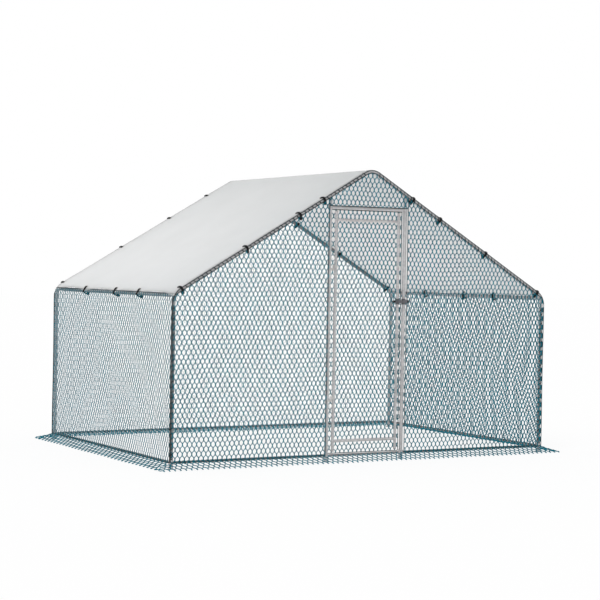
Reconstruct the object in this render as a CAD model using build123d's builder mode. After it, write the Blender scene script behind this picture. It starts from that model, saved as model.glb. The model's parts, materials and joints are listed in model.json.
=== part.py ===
"""Walk-in metal chicken run: tube frame, hexagonal wire nets, hinged door and stretched roof cover.

Millimetres. Origin on the ground under the middle of the run, +X to the right seen from the door side,
+Y to the rear, +Z up. The door is in the front wall, at negative Y.
"""
import os
from math import atan2, ceil, cos, radians, sin, tan

from build123d import *

os.makedirs("parts", exist_ok=True)

# Frame sizes between tube axes
run_width = 3000.0
run_depth = 2030.0
eave_height = 1142.0
ridge_height = 2014.0
rail_height = 45.0
bend_radius = 100.0

# Tube sizes
tube_radius = 12.5
tube_bore = 11.5
rail_radius = 8.0
rail_bore = 6.8
leaf_radius = 10.0
leaf_bore = 8.6
plug_gap = 0.25
plug_depth = 40.0
arm_length = 80.0
sleeve_radius = 15.5
sleeve_gap = 0.15
sleeve_length = 36.0
saddle_length = 44.0
saddle_room = 4.0
arm_stub = 6.0
arm_step = 0.3

# Feet
foot_radius = 24.0
foot_plate = 3.0
foot_neck = 5.0
foot_top = 22.0

# Doorway and door leaf
hinge_post_x = -327.0
latch_post_x = 284.0
lintel_drop = 77.904
stile_offset = 51.0
leaf_bottom = 72.0
leaf_head_gap = 26.0
leaf_low_rail = 142.0
leaf_rail_drop = 60.0
leaf_net_lap = 24.0
cap_thickness = 2.0
cap_plug = 16.0
weld_gap = 0.1

# Hinges
hinge_heights = (430.0, 1330.0)
hinge_forward = 15.0
knuckle_radius = 6.5
knuckle_height = 18.0
pin_radius = 3.0
pin_head_radius = 5.5
pin_head_height = 3.0
strap_wall = 3.0
running_gap = 0.3

# Slide latch
latch_height = 1103.0
latch_forward = 24.0
latch_block = 20.0
latch_wall = 3.5
block_sink = 3.0
latch_gap = 4.0
guide_behind = 14.0
keeper_ahead = 12.0
keeper_gap = 0.5
boss_radius = 6.0
boss_reach = 6.0
boss_sink = 1.0
bolt_radius = 4.0
bolt_behind = 57.0
bolt_setback = 1.0
stem_radius = 3.5
stem_inset = 5.0
stem_reach = 16.0
knob_stand = 2.0
knob_radius = 8.0
keeper_knob_radius = 11.0
keeper_knob_length = 18.0

# Nets
net_thickness = 2.0
net_border = 6.0
net_strand = 5.0
cell_width = 250.0
cell_rise = 265.0
cell_side = 145.0
net_bottom = 26.0
net_drop = 24.0
skirt_width = 100.0

# Roof cover and its elastic ties
cover_thickness = 1.5
cover_gap = 0.4
cover_edge = 14.0
eyelet_inset = 26.0
eyelet_hole = 5.2
eyelet_rim = 9.0
eyelet_height = 0.8
strap_width = 4.0
strap_thickness = 3.0
ball_radius = 12.0
ball_drop = 26.0
bead_hole = 2.9
hem_room = 2.0
rafter_ties = (52.0, 526.0, 928.0)
rear_top_tie = 1250.0
post_tie_gap = 56.0
eave_ties = (560.0, 950.0, 1490.0)

# Derived places
half_width = run_width / 2
half_depth = run_depth / 2
pitch = atan2(ridge_height - eave_height, half_width)
front_y = -half_depth
rear_y = half_depth
net_offset = sleeve_radius + running_gap
net_far = net_offset + net_thickness
hinge_stile_x = hinge_post_x + stile_offset
latch_stile_x = latch_post_x - stile_offset
hinge_x = (hinge_post_x + hinge_stile_x) / 2
hinge_y = front_y - hinge_forward
skirt_inner = foot_radius + running_gap
on_axis = (Align.CENTER, Align.CENTER, Align.MIN)
up = Vector(0, 0, 1)
down = Vector(0, 0, -1)


def slope(side):
    """Direction up the roof slope on one side, -1 for the left and +1 for the right."""
    return Vector(-side * cos(pitch), 0, sin(pitch))


def slope_normal(side):
    """Upward normal of the roof slope on one side."""
    return Vector(side * sin(pitch), 0, cos(pitch))


def eave_corner(side, y):
    """Crossing of the post axis and the rafter axis."""
    return Vector(side * half_width, y, eave_height)


def ridge_corner(y):
    """Crossing of the two rafter axes."""
    return Vector(0, y, ridge_height)


def bend_middle(corner, first, second):
    """Middle of the rounded bend between two arms that leave a corner."""
    half = radians(first.get_angle(second) / 2)
    inward = (first + second).normalized()
    return corner + inward * (bend_radius / sin(half) - bend_radius)


def rafter_height(x):
    """Height of the rafter axis above the ground at one x."""
    return ridge_height - abs(x) * tan(pitch)


# The lintel hangs below the rafters at the hinge post, and the leaf's head follows it
lintel_height = rafter_height(hinge_post_x) - lintel_drop
leaf_top = lintel_height - leaf_head_gap
leaf_high_rail = leaf_top - leaf_rail_drop


def tube(start, end, radius, bore):
    """Straight hollow tube between two points."""
    run = Vector(*end) - Vector(*start)
    with BuildPart() as piece:
        with BuildSketch(Plane(origin=start, z_dir=run.normalized())):
            Circle(radius)
            Circle(bore, mode=Mode.SUBTRACT)
        extrude(amount=run.length)
    return piece


def elbow(corner, first, second, side_arm):
    """Three-way bent connector with a reduced plug at the end of each arm."""
    middle = bend_middle(corner, first, second)
    with BuildPart() as piece:
        with BuildLine() as path:
            FilletPolyline(
                corner + first * arm_length,
                corner,
                corner + second * arm_length,
                radius=bend_radius,
            )
        with BuildSketch(Plane(origin=corner + first * arm_length, z_dir=first * -1)):
            Circle(tube_radius)
        sweep(path=path.wires()[0])
        with Locations(Plane(origin=middle, z_dir=side_arm)):
            Cylinder(tube_radius - arm_step, arm_length, align=on_axis)
            Cylinder(tube_bore - plug_gap, arm_length + plug_depth, align=on_axis)
        for direction in (first, second):
            with Locations(Plane(origin=corner + direction * arm_length, z_dir=direction)):
                Cylinder(tube_bore - plug_gap, plug_depth, align=on_axis)
    return piece


def sleeve(piece_centre, axis, radius, bore, length, arms):
    """Sleeve around a tube with side arms, each arm ending in a plug for another tube."""
    with BuildPart() as piece:
        with Locations(Plane(origin=piece_centre, z_dir=axis)):
            Cylinder(radius, length)
        for direction, shoulder, shoulder_reach, plug in arms:
            with Locations(Plane(origin=piece_centre, z_dir=direction)):
                Cylinder(shoulder, shoulder_reach, align=on_axis)
                Cylinder(plug, shoulder_reach + plug_depth, align=on_axis)
        with Locations(Plane(origin=piece_centre, z_dir=axis)):
            Cylinder(bore, length + 4 * radius, mode=Mode.SUBTRACT)
    return piece


def rail_arm(direction):
    """Arm of a sleeve that carries a bottom rail."""
    return (direction, rail_radius, rail_start, rail_bore - plug_gap)


def group(members):
    """Several separate solids kept as one piece."""
    with BuildPart() as piece:
        for member in members:
            add(member.part)
    return piece


def net(plane, outline):
    """Flat wire net: one face with hexagonal gaps inside a closed border, given a small thickness."""
    xs = [point[0] for point in outline]
    ys = [point[1] for point in outline]
    half = (cell_width - net_strand) / 2
    slant = atan2(cell_rise - cell_side, cell_width / 2)
    tip = cell_rise - cell_side / 2 - net_strand / 2 / cos(slant)
    shoulder = tip - half * tan(slant)
    cell = (
        (half, -shoulder),
        (half, shoulder),
        (0, tip),
        (-half, shoulder),
        (-half, -shoulder),
        (0, -tip),
    )
    columns = ceil((max(xs) - min(xs)) / cell_width / 2) + 1
    rows = ceil((max(ys) - min(ys)) / cell_rise / 2) + 1
    middle_x = (max(xs) + min(xs)) / 2
    middle_y = (max(ys) + min(ys)) / 2
    centres = []
    for row in range(-rows, rows + 1):
        shift = cell_width / 2 if row % 2 else 0
        for column in range(-columns, columns + 1):
            centres.append((middle_x + shift + column * cell_width, middle_y + row * cell_rise))
    with BuildSketch() as cells:
        with Locations(*centres):
            Polygon(*cell, align=None)
    with BuildSketch() as gaps:
        Polygon(*outline, align=None)
        offset(amount=-net_border, kind=Kind.INTERSECTION, mode=Mode.REPLACE)
        add(cells.sketch, mode=Mode.INTERSECT)
    with BuildPart() as piece:
        with BuildSketch(plane):
            Polygon(*outline, align=None)
            add(gaps.sketch, mode=Mode.SUBTRACT)
        extrude(amount=net_thickness)
    return piece


pieces = {}

# Posts, rafters and roof rails
sides = (("left", -1), ("right", 1))
ends = (("front", front_y, Vector(0, 1, 0)), ("rear", rear_y, Vector(0, -1, 0)))
for end_name, y, inward in ends:
    for side_name, side in sides:
        corner = eave_corner(side, y)
        post_top = corner + down * arm_length
        pieces[f"{end_name}_{side_name}_post"] = tube(
            (side * half_width, y, foot_top), post_top, tube_radius, tube_bore
        )
        pieces[f"{end_name}_{side_name}_rafter"] = tube(
            corner + slope(side) * arm_length,
            ridge_corner(y) - slope(side) * arm_length,
            tube_radius,
            tube_bore,
        )
        pieces[f"{end_name}_{side_name}_eave_elbow"] = elbow(corner, down, slope(side), inward)
    pieces[f"{end_name}_ridge_elbow"] = elbow(ridge_corner(y), slope(-1) * -1, slope(1) * -1, inward)

for side_name, side in sides:
    front_end = bend_middle(eave_corner(side, front_y), down, slope(side))
    rear_end = bend_middle(eave_corner(side, rear_y), down, slope(side))
    pieces[f"{side_name}_eave_rail"] = tube(
        front_end + Vector(0, arm_length, 0), rear_end - Vector(0, arm_length, 0), tube_radius, tube_bore
    )
front_end = bend_middle(ridge_corner(front_y), slope(-1) * -1, slope(1) * -1)
rear_end = bend_middle(ridge_corner(rear_y), slope(-1) * -1, slope(1) * -1)
pieces["ridge_rail"] = tube(
    front_end + Vector(0, arm_length, 0), rear_end - Vector(0, arm_length, 0), tube_radius, tube_bore
)

# Bottom rails and the fittings that carry them
rail_start = sleeve_radius + arm_stub
to_right = Vector(1, 0, 0)
to_left = Vector(-1, 0, 0)
to_rear = Vector(0, 1, 0)
to_front = Vector(0, -1, 0)
fitting_bore = tube_radius + sleeve_gap
corner_fittings = []
for end_name, y, inward in ends:
    for side_name, side in sides:
        corner_fittings.append(
            sleeve(
                (side * half_width, y, rail_height),
                up,
                sleeve_radius,
                fitting_bore,
                sleeve_length,
                [rail_arm(Vector(-side, 0, 0)), rail_arm(inward)],
            )
        )
pieces["corner_rail_fittings"] = group(corner_fittings)
rail_runs = {
    "front_left_bottom_rail": (-half_width, front_y, hinge_post_x, front_y),
    "door_sill_rail": (hinge_post_x, front_y, latch_post_x, front_y),
    "front_right_bottom_rail": (latch_post_x, front_y, half_width, front_y),
    "rear_bottom_rail": (-half_width, rear_y, half_width, rear_y),
    "left_bottom_rail": (-half_width, front_y, -half_width, rear_y),
    "right_bottom_rail": (half_width, front_y, half_width, rear_y),
}
for rail_name, (x0, y0, x1, y1) in rail_runs.items():
    begin = Vector(x0, y0, rail_height)
    finish = Vector(x1, y1, rail_height)
    along = (finish - begin).normalized()
    pieces[rail_name] = tube(
        begin + along * rail_start, finish - along * rail_start, rail_radius, rail_bore
    )

# Flared foot under each post
with BuildPart() as foot_plates:
    foot_places = [(side * half_width, y) for side in (-1, 1) for y in (front_y, rear_y)]
    foot_places += [(hinge_post_x, front_y), (latch_post_x, front_y)]
    for x, y in foot_places:
        with BuildSketch(Plane(origin=(x, y, 0), x_dir=(1, 0, 0), z_dir=(0, -1, 0))):
            Polygon(
                (0, 0),
                (foot_radius, 0),
                (foot_radius, foot_plate),
                (tube_radius + foot_neck, foot_plate),
                (tube_radius, foot_top),
                (tube_bore - plug_gap, foot_top),
                (tube_bore - plug_gap, foot_top + plug_depth),
                (0, foot_top + plug_depth),
                align=None,
            )
        revolve(axis=Axis((x, y, 0), (0, 0, 1)))
pieces["foot_plates"] = foot_plates

# Door posts hang from the rafters in saddle tees and carry the lintel between two sleeves
door_posts = (("door_hinge_post", hinge_post_x, to_right), ("door_latch_post", latch_post_x, to_left))
saddle_drop = sleeve_radius / cos(pitch) + tube_radius * tan(pitch) + saddle_room
bottom_tees = []
lintel_tees = []
rafter_tees = []
for post_name, x, toward_door in door_posts:
    rafter_z = rafter_height(x)
    side = -1 if x < 0 else 1
    pieces[post_name] = tube(
        (x, front_y, foot_top), (x, front_y, rafter_z - saddle_drop), tube_radius, tube_bore
    )
    bottom_tees.append(
        sleeve(
            (x, front_y, rail_height),
            up,
            sleeve_radius,
            fitting_bore,
            sleeve_length,
            [rail_arm(to_left), rail_arm(to_right)],
        )
    )
    lintel_tees.append(
        sleeve(
            (x, front_y, lintel_height),
            up,
            sleeve_radius,
            fitting_bore,
            sleeve_length,
            [(toward_door, tube_radius, rail_start, tube_bore - plug_gap)],
        )
    )
    with BuildPart() as saddle:
        add(
            sleeve(
                (x, front_y, rafter_z),
                slope(side),
                sleeve_radius,
                fitting_bore,
                saddle_length,
                [(down, tube_radius, saddle_drop, tube_bore - plug_gap)],
            ).part
        )
        with Locations(Plane(origin=(x, front_y, rafter_z), x_dir=slope(side), z_dir=slope_normal(side))):
            Box(2 * saddle_length, 4 * sleeve_radius, 2 * sleeve_radius, align=on_axis, mode=Mode.SUBTRACT)
    rafter_tees.append(saddle)
pieces["door_bottom_tees"] = group(bottom_tees)
pieces["door_lintel_tees"] = group(lintel_tees)
pieces["rafter_saddle_tees"] = group(rafter_tees)
pieces["door_lintel"] = tube(
    (hinge_post_x + rail_start, front_y, lintel_height),
    (latch_post_x - rail_start, front_y, lintel_height),
    tube_radius,
    tube_bore,
)

# Wall nets on the outside of the frame
front_plane = Plane(origin=(0, front_y - net_offset, 0), x_dir=(1, 0, 0), z_dir=(0, -1, 0))
rear_plane = Plane(origin=(0, rear_y + net_far, 0), x_dir=(1, 0, 0), z_dir=(0, -1, 0))
left_plane = Plane(origin=(-half_width - net_offset, 0, 0), x_dir=(0, -1, 0), z_dir=(-1, 0, 0))
right_plane = Plane(origin=(half_width + net_far, 0, 0), x_dir=(0, -1, 0), z_dir=(-1, 0, 0))
wall_reach = half_width + net_far
side_reach = half_depth + net_offset - running_gap
net_fall = net_drop / cos(pitch)
eave_net_top = bend_middle(eave_corner(-1, 0), down, slope(-1)).Z - net_drop
hinge_side = hinge_post_x - sleeve_radius
latch_side = latch_post_x + sleeve_radius


def net_top(x):
    """Upper edge of an end-wall net at one x, just under the rafter."""
    return rafter_height(x) - net_fall


side_outline = [
    (-side_reach, net_bottom),
    (side_reach, net_bottom),
    (side_reach, eave_net_top),
    (-side_reach, eave_net_top),
]
pieces["left_wall_net"] = net(left_plane, side_outline)
pieces["right_wall_net"] = net(right_plane, side_outline)
pieces["rear_wall_net"] = net(
    rear_plane,
    [
        (-wall_reach, net_bottom),
        (wall_reach, net_bottom),
        (wall_reach, net_top(wall_reach)),
        (0, net_top(0)),
        (-wall_reach, net_top(wall_reach)),
    ],
)
pieces["front_left_net"] = net(
    front_plane,
    [
        (-wall_reach, net_bottom),
        (hinge_side, net_bottom),
        (hinge_side, net_top(hinge_side)),
        (-wall_reach, net_top(wall_reach)),
    ],
)
pieces["front_right_net"] = net(
    front_plane,
    [
        (latch_side, net_bottom),
        (wall_reach, net_bottom),
        (wall_reach, net_top(wall_reach)),
        (latch_side, net_top(latch_side)),
    ],
)
gable_left = hinge_side + running_gap
gable_right = latch_side - running_gap
gable_bottom = lintel_height - tube_radius
pieces["front_gable_net"] = net(
    front_plane,
    [
        (gable_left, gable_bottom),
        (gable_right, gable_bottom),
        (gable_right, net_top(gable_right)),
        (0, net_top(0)),
        (gable_left, net_top(gable_left)),
    ],
)

# Skirt nets that lie flat on the ground round the run
skirt_out = skirt_inner + skirt_width
skirt_x = half_width + skirt_out
for skirt_name, sign in (("front_skirt_net", -1), ("rear_skirt_net", 1)):
    near = sign * (half_depth + skirt_inner)
    far = sign * (half_depth + skirt_out)
    pieces[skirt_name] = net(Plane.XY, [(-skirt_x, near), (skirt_x, near), (skirt_x, far), (-skirt_x, far)])
skirt_y = half_depth + skirt_inner - running_gap
for skirt_name, sign in (("left_skirt_net", -1), ("right_skirt_net", 1)):
    near = sign * (half_width + skirt_inner)
    far = sign * (half_width + skirt_out)
    pieces[skirt_name] = net(Plane.XY, [(near, -skirt_y), (far, -skirt_y), (far, skirt_y), (near, skirt_y)])

# Door leaf
for stile_name, x in (("door_hinge_stile", hinge_stile_x), ("door_latch_stile", latch_stile_x)):
    pieces[stile_name] = tube((x, front_y, leaf_bottom), (x, front_y, leaf_top), leaf_radius, leaf_bore)
for rail_name, z in (("door_bottom_rail", leaf_low_rail), ("door_top_rail", leaf_high_rail)):
    with BuildPart() as leaf_rail:
        add(tube((hinge_stile_x, front_y, z), (latch_stile_x, front_y, z), leaf_radius, leaf_bore).part)
        with Locations((hinge_stile_x, front_y, z), (latch_stile_x, front_y, z)):
            Cylinder(leaf_radius + weld_gap, 4 * leaf_radius, mode=Mode.SUBTRACT)
    pieces[rail_name] = leaf_rail
with BuildPart() as stile_caps:
    for x in (hinge_stile_x, latch_stile_x):
        for z, direction in ((leaf_bottom, up), (leaf_top, down)):
            with Locations(Plane(origin=(x, front_y, z), z_dir=direction)):
                Cylinder(leaf_bore - plug_gap, cap_plug, align=on_axis)
            with Locations(Plane(origin=(x, front_y, z), z_dir=direction * -1)):
                Cylinder(leaf_radius, cap_thickness, align=on_axis)
pieces["door_stile_caps"] = stile_caps
strap_outer = leaf_radius + strap_wall
leaf_net_y = front_y + strap_outer + running_gap + net_thickness
leaf_net_plane = Plane(origin=(0, leaf_net_y, 0), x_dir=(1, 0, 0), z_dir=(0, -1, 0))
pieces["door_net"] = net(
    leaf_net_plane,
    [
        (hinge_stile_x - leaf_net_lap, leaf_bottom),
        (latch_stile_x + leaf_net_lap, leaf_bottom),
        (latch_stile_x + leaf_net_lap, leaf_top),
        (hinge_stile_x - leaf_net_lap, leaf_top),
    ],
)


def hinge_strap(x, radius, bore, low, high, hole):
    """Band round a tube with an ear that ends in a hinge knuckle."""
    centre = Vector(x, front_y, (low + high) / 2)
    knuckle = Vector(hinge_x, hinge_y, (low + high) / 2)
    reach = knuckle - centre
    with BuildPart() as piece:
        with Locations(centre):
            Cylinder(radius, high - low)
        with Locations(knuckle):
            Cylinder(knuckle_radius, high - low)
        with Locations(Plane(origin=centre, x_dir=reach.normalized(), z_dir=(0, 0, 1))):
            Box(reach.length, knuckle_radius, high - low, align=(Align.MIN, Align.CENTER, Align.CENTER))
        with Locations(centre):
            Cylinder(bore, 2 * (high - low), mode=Mode.SUBTRACT)
        with Locations(knuckle):
            Cylinder(hole, 2 * (high - low), mode=Mode.SUBTRACT)
    return piece


# Hinges: the post strap carries the pin and the leaf strap turns on it
post_straps = []
leaf_straps = []
for z in hinge_heights:
    post_straps.append(
        hinge_strap(
            hinge_post_x,
            sleeve_radius,
            fitting_bore,
            z - knuckle_height,
            z - running_gap,
            pin_radius + sleeve_gap,
        )
    )
    leaf_straps.append(
        hinge_strap(
            hinge_stile_x,
            strap_outer,
            leaf_radius + sleeve_gap,
            z + running_gap,
            z + knuckle_height,
            pin_radius + running_gap,
        )
    )
pieces["hinge_post_straps"] = group(post_straps)
pieces["hinge_leaf_straps"] = group(leaf_straps)
with BuildPart() as hinge_pins:
    for z in hinge_heights:
        with Locations((hinge_x, hinge_y, z - knuckle_height)):
            Cylinder(pin_radius, 2 * knuckle_height + running_gap, align=on_axis)
        with Locations((hinge_x, hinge_y, z + knuckle_height + running_gap)):
            Cylinder(pin_head_radius, pin_head_height, align=on_axis)
pieces["hinge_pins"] = hinge_pins

# Slide latch: guide on the leaf, bolt with a side stem and knob, keeper on the post
latch_y = front_y - latch_forward
block_front = latch_y - bolt_radius - latch_wall
latch_middle = (latch_stile_x + latch_post_x) / 2
guide_left = latch_stile_x - guide_behind
guide_right = latch_middle - latch_gap / 2
keeper_left = latch_middle + latch_gap / 2
keeper_right = latch_post_x + keeper_ahead
keeper_hole = bolt_radius + keeper_gap
bolt_left = latch_stile_x - bolt_behind
bolt_right = guide_right - bolt_setback
stem_x = bolt_left + stem_inset
from_corner = (Align.MIN, Align.MIN, Align.CENTER)

with BuildPart() as latch_guide:
    with Locations((latch_stile_x, front_y, latch_height)):
        Cylinder(strap_outer, 2 * latch_block)
    with Locations((guide_left, block_front, latch_height)):
        guide_depth = front_y - strap_outer + block_sink - block_front
        Box(guide_right - guide_left, guide_depth, latch_block, align=from_corner)
    with Locations((latch_stile_x, front_y, latch_height)):
        Cylinder(leaf_radius + sleeve_gap, 4 * latch_block, mode=Mode.SUBTRACT)
    with Locations(Plane(origin=(guide_left, latch_y, latch_height), z_dir=to_right)):
        Cylinder(bolt_radius + running_gap, 4 * latch_block, mode=Mode.SUBTRACT)
pieces["latch_guide"] = latch_guide

# Keeper: a band on the post, and two lugs and a front plate welded to it round the bolt's slot
with BuildPart() as keeper_band:
    with Locations((latch_post_x, front_y, latch_height)):
        Cylinder(sleeve_radius, 2 * latch_block)
    boss_x = latch_post_x + sleeve_radius - boss_sink
    with Locations(Plane(origin=(boss_x, front_y, latch_height), z_dir=to_right)):
        Cylinder(boss_radius, boss_reach + boss_sink, align=on_axis)
    with Locations((latch_post_x, front_y, latch_height)):
        Cylinder(fitting_bore, 4 * latch_block, mode=Mode.SUBTRACT)
lug_height = latch_block / 2 - keeper_hole
keeper_members = [keeper_band]
for sign in (-1, 1):
    with BuildPart() as keeper_lug:
        with Locations((keeper_left, block_front, latch_height + sign * (keeper_hole + lug_height / 2))):
            lug_depth = front_y - sleeve_radius + block_sink - block_front
            Box(keeper_right - keeper_left, lug_depth, lug_height, align=from_corner)
        with Locations((latch_post_x, front_y, latch_height)):
            Cylinder(sleeve_radius + weld_gap, 4 * latch_block, mode=Mode.SUBTRACT)
    keeper_members.append(keeper_lug)
with BuildPart() as keeper_front:
    with Locations((keeper_left, block_front, latch_height)):
        front_depth = latch_y - keeper_hole - block_front
        Box(keeper_right - keeper_left, front_depth, 2 * (keeper_hole - weld_gap), align=from_corner)
keeper_members.append(keeper_front)
pieces["latch_keeper"] = group(keeper_members)
with BuildPart() as latch_bolt:
    with Locations(Plane(origin=(bolt_left, latch_y, latch_height), z_dir=to_right)):
        Cylinder(bolt_radius, bolt_right - bolt_left, align=on_axis)
    with Locations(Plane(origin=(stem_x, latch_y, latch_height), z_dir=to_front)):
        Cylinder(stem_radius, stem_reach, align=on_axis)
pieces["latch_bolt"] = latch_bolt
with BuildPart() as latch_bolt_knob:
    knob_back = latch_y - bolt_radius - knob_stand
    with Locations(Plane(origin=(stem_x, knob_back, latch_height), z_dir=to_front)):
        Cylinder(knob_radius, stem_reach, align=on_axis)
    with Locations(Plane(origin=(stem_x, latch_y, latch_height), z_dir=to_front)):
        Cylinder(stem_radius + sleeve_gap, stem_reach + sleeve_gap, align=on_axis, mode=Mode.SUBTRACT)
pieces["latch_bolt_knob"] = latch_bolt_knob
with BuildPart() as keeper_knob:
    keeper_knob_x = latch_post_x + sleeve_radius + boss_reach
    with Locations(Plane(origin=(keeper_knob_x, front_y, latch_height), z_dir=to_right)):
        Cylinder(keeper_knob_radius, keeper_knob_length, align=on_axis)
pieces["latch_keeper_knob"] = keeper_knob

# Roof cover: one sheet over both slopes with a row of eyelets along every edge
cover_low = tube_radius + cover_gap
cover_high = cover_low + cover_thickness
eave_middle = bend_middle(eave_corner(1, 0), down, slope(1))
eave_sink = (eave_corner(1, 0) - eave_middle).dot(slope_normal(1))
eave_shift = (eave_middle - eave_corner(1, 0)).dot(slope(1))


def cover_point(side, along, lift, y):
    """Point on a roof slope: distance up from the eave corner, height over the rafter axis, and y."""
    return eave_corner(side, y) + slope(side) * along + slope_normal(side) * lift


def cover_profile(lift):
    """Points of the roof section at one height over the rafter axes."""
    hem = eave_shift - cover_edge
    apex = Vector(0, 0, ridge_height + lift / cos(pitch))
    return [cover_point(-1, hem, lift, 0), apex, cover_point(1, hem, lift, 0)]


tie_frames = []
left_rafter_ties = (*rafter_ties, half_width + hinge_post_x - post_tie_gap)
right_rafter_ties = (*rafter_ties, half_width - latch_post_x - post_tie_gap)
rear_rafter_ties = (*rafter_ties, rear_top_tie)
tie_rows = (
    (-1, front_y, to_front, left_rafter_ties),
    (1, front_y, to_front, right_rafter_ties),
    (-1, rear_y, to_rear, rear_rafter_ties),
    (1, rear_y, to_rear, rear_rafter_ties),
)
for side, y, outward, ties in tie_rows:
    for x in ties:
        base = cover_point(side, x / cos(pitch), 0, y)
        tie_frames.append((base, outward, slope_normal(side), 0))
for side in (-1, 1):
    for y in eave_ties:
        base = cover_point(side, eave_shift, -eave_sink, front_y + y)
        tie_frames.append((base, slope(side) * -1, slope_normal(side), eave_sink))

with BuildPart() as roof_cover:
    with BuildSketch(Plane.XZ.offset(-rear_y - cover_edge)):
        with BuildLine():
            lower = [(point.X, point.Z) for point in cover_profile(cover_low)]
            upper = [(point.X, point.Z) for point in cover_profile(cover_high)]
            FilletPolyline(*lower, radius=bend_radius + cover_low)
            FilletPolyline(*upper, radius=bend_radius + cover_high)
            Line(lower[0], upper[0])
            Line(lower[2], upper[2])
        make_face()
    extrude(amount=run_depth + 2 * cover_edge)
    for base, outward, normal, sink in tie_frames:
        under_hole = base - outward * eyelet_inset + normal * sink
        with BuildSketch(Plane(origin=under_hole, x_dir=outward, z_dir=normal)):
            RegularPolygon(eyelet_hole, 6)
        extrude(amount=2 * cover_high, mode=Mode.SUBTRACT)
pieces["roof_cover"] = roof_cover

with BuildPart() as cover_eyelets:
    for base, outward, normal, sink in tie_frames:
        seat = base - outward * eyelet_inset + normal * (sink + cover_high)
        with BuildSketch(Plane(origin=seat, x_dir=outward, z_dir=normal)):
            RegularPolygon(eyelet_rim, 12)
            RegularPolygon(eyelet_hole, 6, mode=Mode.SUBTRACT)
        extrude(amount=eyelet_height)
pieces["cover_eyelets"] = cover_eyelets

# Elastic loops: through an eyelet, over the hem and round the tube, with a ball under the tube
bead_half = (ball_radius**2 - bead_hole**2) ** 0.5


def loop_outline(sink, grow):
    """Six-sided loop round a tube and the hem of the cover, seen along the tube."""
    inside = -eyelet_inset + strap_thickness / 2 - grow
    outside = cover_edge + hem_room + grow
    top = sink + cover_high + eyelet_height + running_gap + grow
    bottom = -ball_drop + strap_thickness / 2 - grow
    shoulder = -hem_room
    return [
        (inside, top),
        (outside, top),
        (outside, shoulder),
        (ball_radius + grow / 2, bottom),
        (-ball_radius - grow / 2, bottom),
        (inside, shoulder),
    ]


with BuildPart() as tie_loops:
    for base, outward, normal, sink in tie_frames:
        along = outward.cross(normal)
        with BuildSketch(Plane(origin=base - along * (strap_width / 2), x_dir=outward, z_dir=along)):
            Polygon(*loop_outline(sink, strap_thickness), align=None)
            Polygon(*loop_outline(sink, 0), align=None, mode=Mode.SUBTRACT)
        extrude(amount=strap_width)
pieces["tie_loops"] = tie_loops
with BuildPart() as tie_balls:
    for base, outward, normal, sink in tie_frames:
        centre = base - normal * ball_drop
        with BuildSketch(Plane(origin=centre, x_dir=outward, z_dir=outward.cross(normal))):
            with BuildLine():
                ThreePointArc((-bead_half, bead_hole), (0, ball_radius), (bead_half, bead_hole))
                Line((bead_half, bead_hole), (-bead_half, bead_hole))
            make_face()
        revolve(axis=Axis(centre, outward))
pieces["tie_balls"] = tie_balls

for piece_name, piece in pieces.items():
    piece.part.label = piece_name
    export_step(piece.part, f"parts/{piece_name}.step")
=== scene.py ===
"""Walk-in metal chicken run: finishes, hexagonal nets, roof cover, ties and a plain studio."""
import json
from math import acos, atan2, cos, pi, radians, sin, tan

import bpy
import numpy as np
from mathutils import Matrix, Vector


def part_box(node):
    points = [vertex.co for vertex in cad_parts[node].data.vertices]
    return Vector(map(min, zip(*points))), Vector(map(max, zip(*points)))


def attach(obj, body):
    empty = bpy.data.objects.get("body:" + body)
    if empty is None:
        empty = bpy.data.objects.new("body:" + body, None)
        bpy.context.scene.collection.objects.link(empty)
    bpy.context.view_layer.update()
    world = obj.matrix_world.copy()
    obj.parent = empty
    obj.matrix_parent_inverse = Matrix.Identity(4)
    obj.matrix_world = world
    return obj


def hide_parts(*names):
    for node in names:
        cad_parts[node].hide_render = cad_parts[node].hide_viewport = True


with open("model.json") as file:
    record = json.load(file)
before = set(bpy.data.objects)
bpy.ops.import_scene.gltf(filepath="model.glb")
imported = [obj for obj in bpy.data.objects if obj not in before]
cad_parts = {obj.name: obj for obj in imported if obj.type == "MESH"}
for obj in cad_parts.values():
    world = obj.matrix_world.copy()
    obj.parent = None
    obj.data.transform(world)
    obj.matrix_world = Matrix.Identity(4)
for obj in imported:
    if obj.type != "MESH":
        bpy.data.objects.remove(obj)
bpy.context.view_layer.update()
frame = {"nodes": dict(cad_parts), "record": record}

# Camera: place in metres, angles in degrees, focal length in photograph pixels
CAMERA_PLACE = (-6.2144, -10.8471, 1.3213)
CAMERA_YAW = 29.9309
CAMERA_PITCH = -1.0748
CAMERA_ROLL = 1.0574
FOCAL_PIXELS = 1676.2
PHOTO_PIXELS = 600
SENSOR_MM = 36.0

# Frame sizes in metres, the same as the frame's own tubes
EAVE_HEIGHT = 1.142
RIDGE_HEIGHT = 2.014
TUBE_RADIUS = 0.0125
BEND_RADIUS = 0.100
BEND_STEPS = 6
LEFT_X = (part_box("front_left_post")[0][0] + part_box("front_left_post")[1][0]) / 2
FRONT_Y = (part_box("front_left_post")[0][1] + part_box("front_left_post")[1][1]) / 2
HALF_WIDTH = -LEFT_X
HALF_DEPTH = -FRONT_Y
PITCH = atan2(RIDGE_HEIGHT - EAVE_HEIGHT, HALF_WIDTH)
EAVE_TURN = pi / 2 - PITCH
EAVE_CUT = BEND_RADIUS * tan(EAVE_TURN / 2)
RIDGE_CUT = BEND_RADIUS * tan(PITCH)

# Hexagonal net: cell width, row height, length of the twisted side and half widths of the wire.
# The coated wire is about 1.5 mm thick and is drawn thicker so that the cells show at this size.
CELL_WIDTH = 0.0344
CELL_RISE = 0.0318
TWIST_LENGTH = 0.016
NEAR_WIRE = 0.0029
LEFT_WIRE = 0.0018
REAR_WIRE = 0.0009
SKIRT_WIRE = 0.0029
TWIST_TURN = pi
TWIST_WIDE = 1.9
TWIST_THIN = 1.3
SHORTEST_SHARE = 0.02

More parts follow.
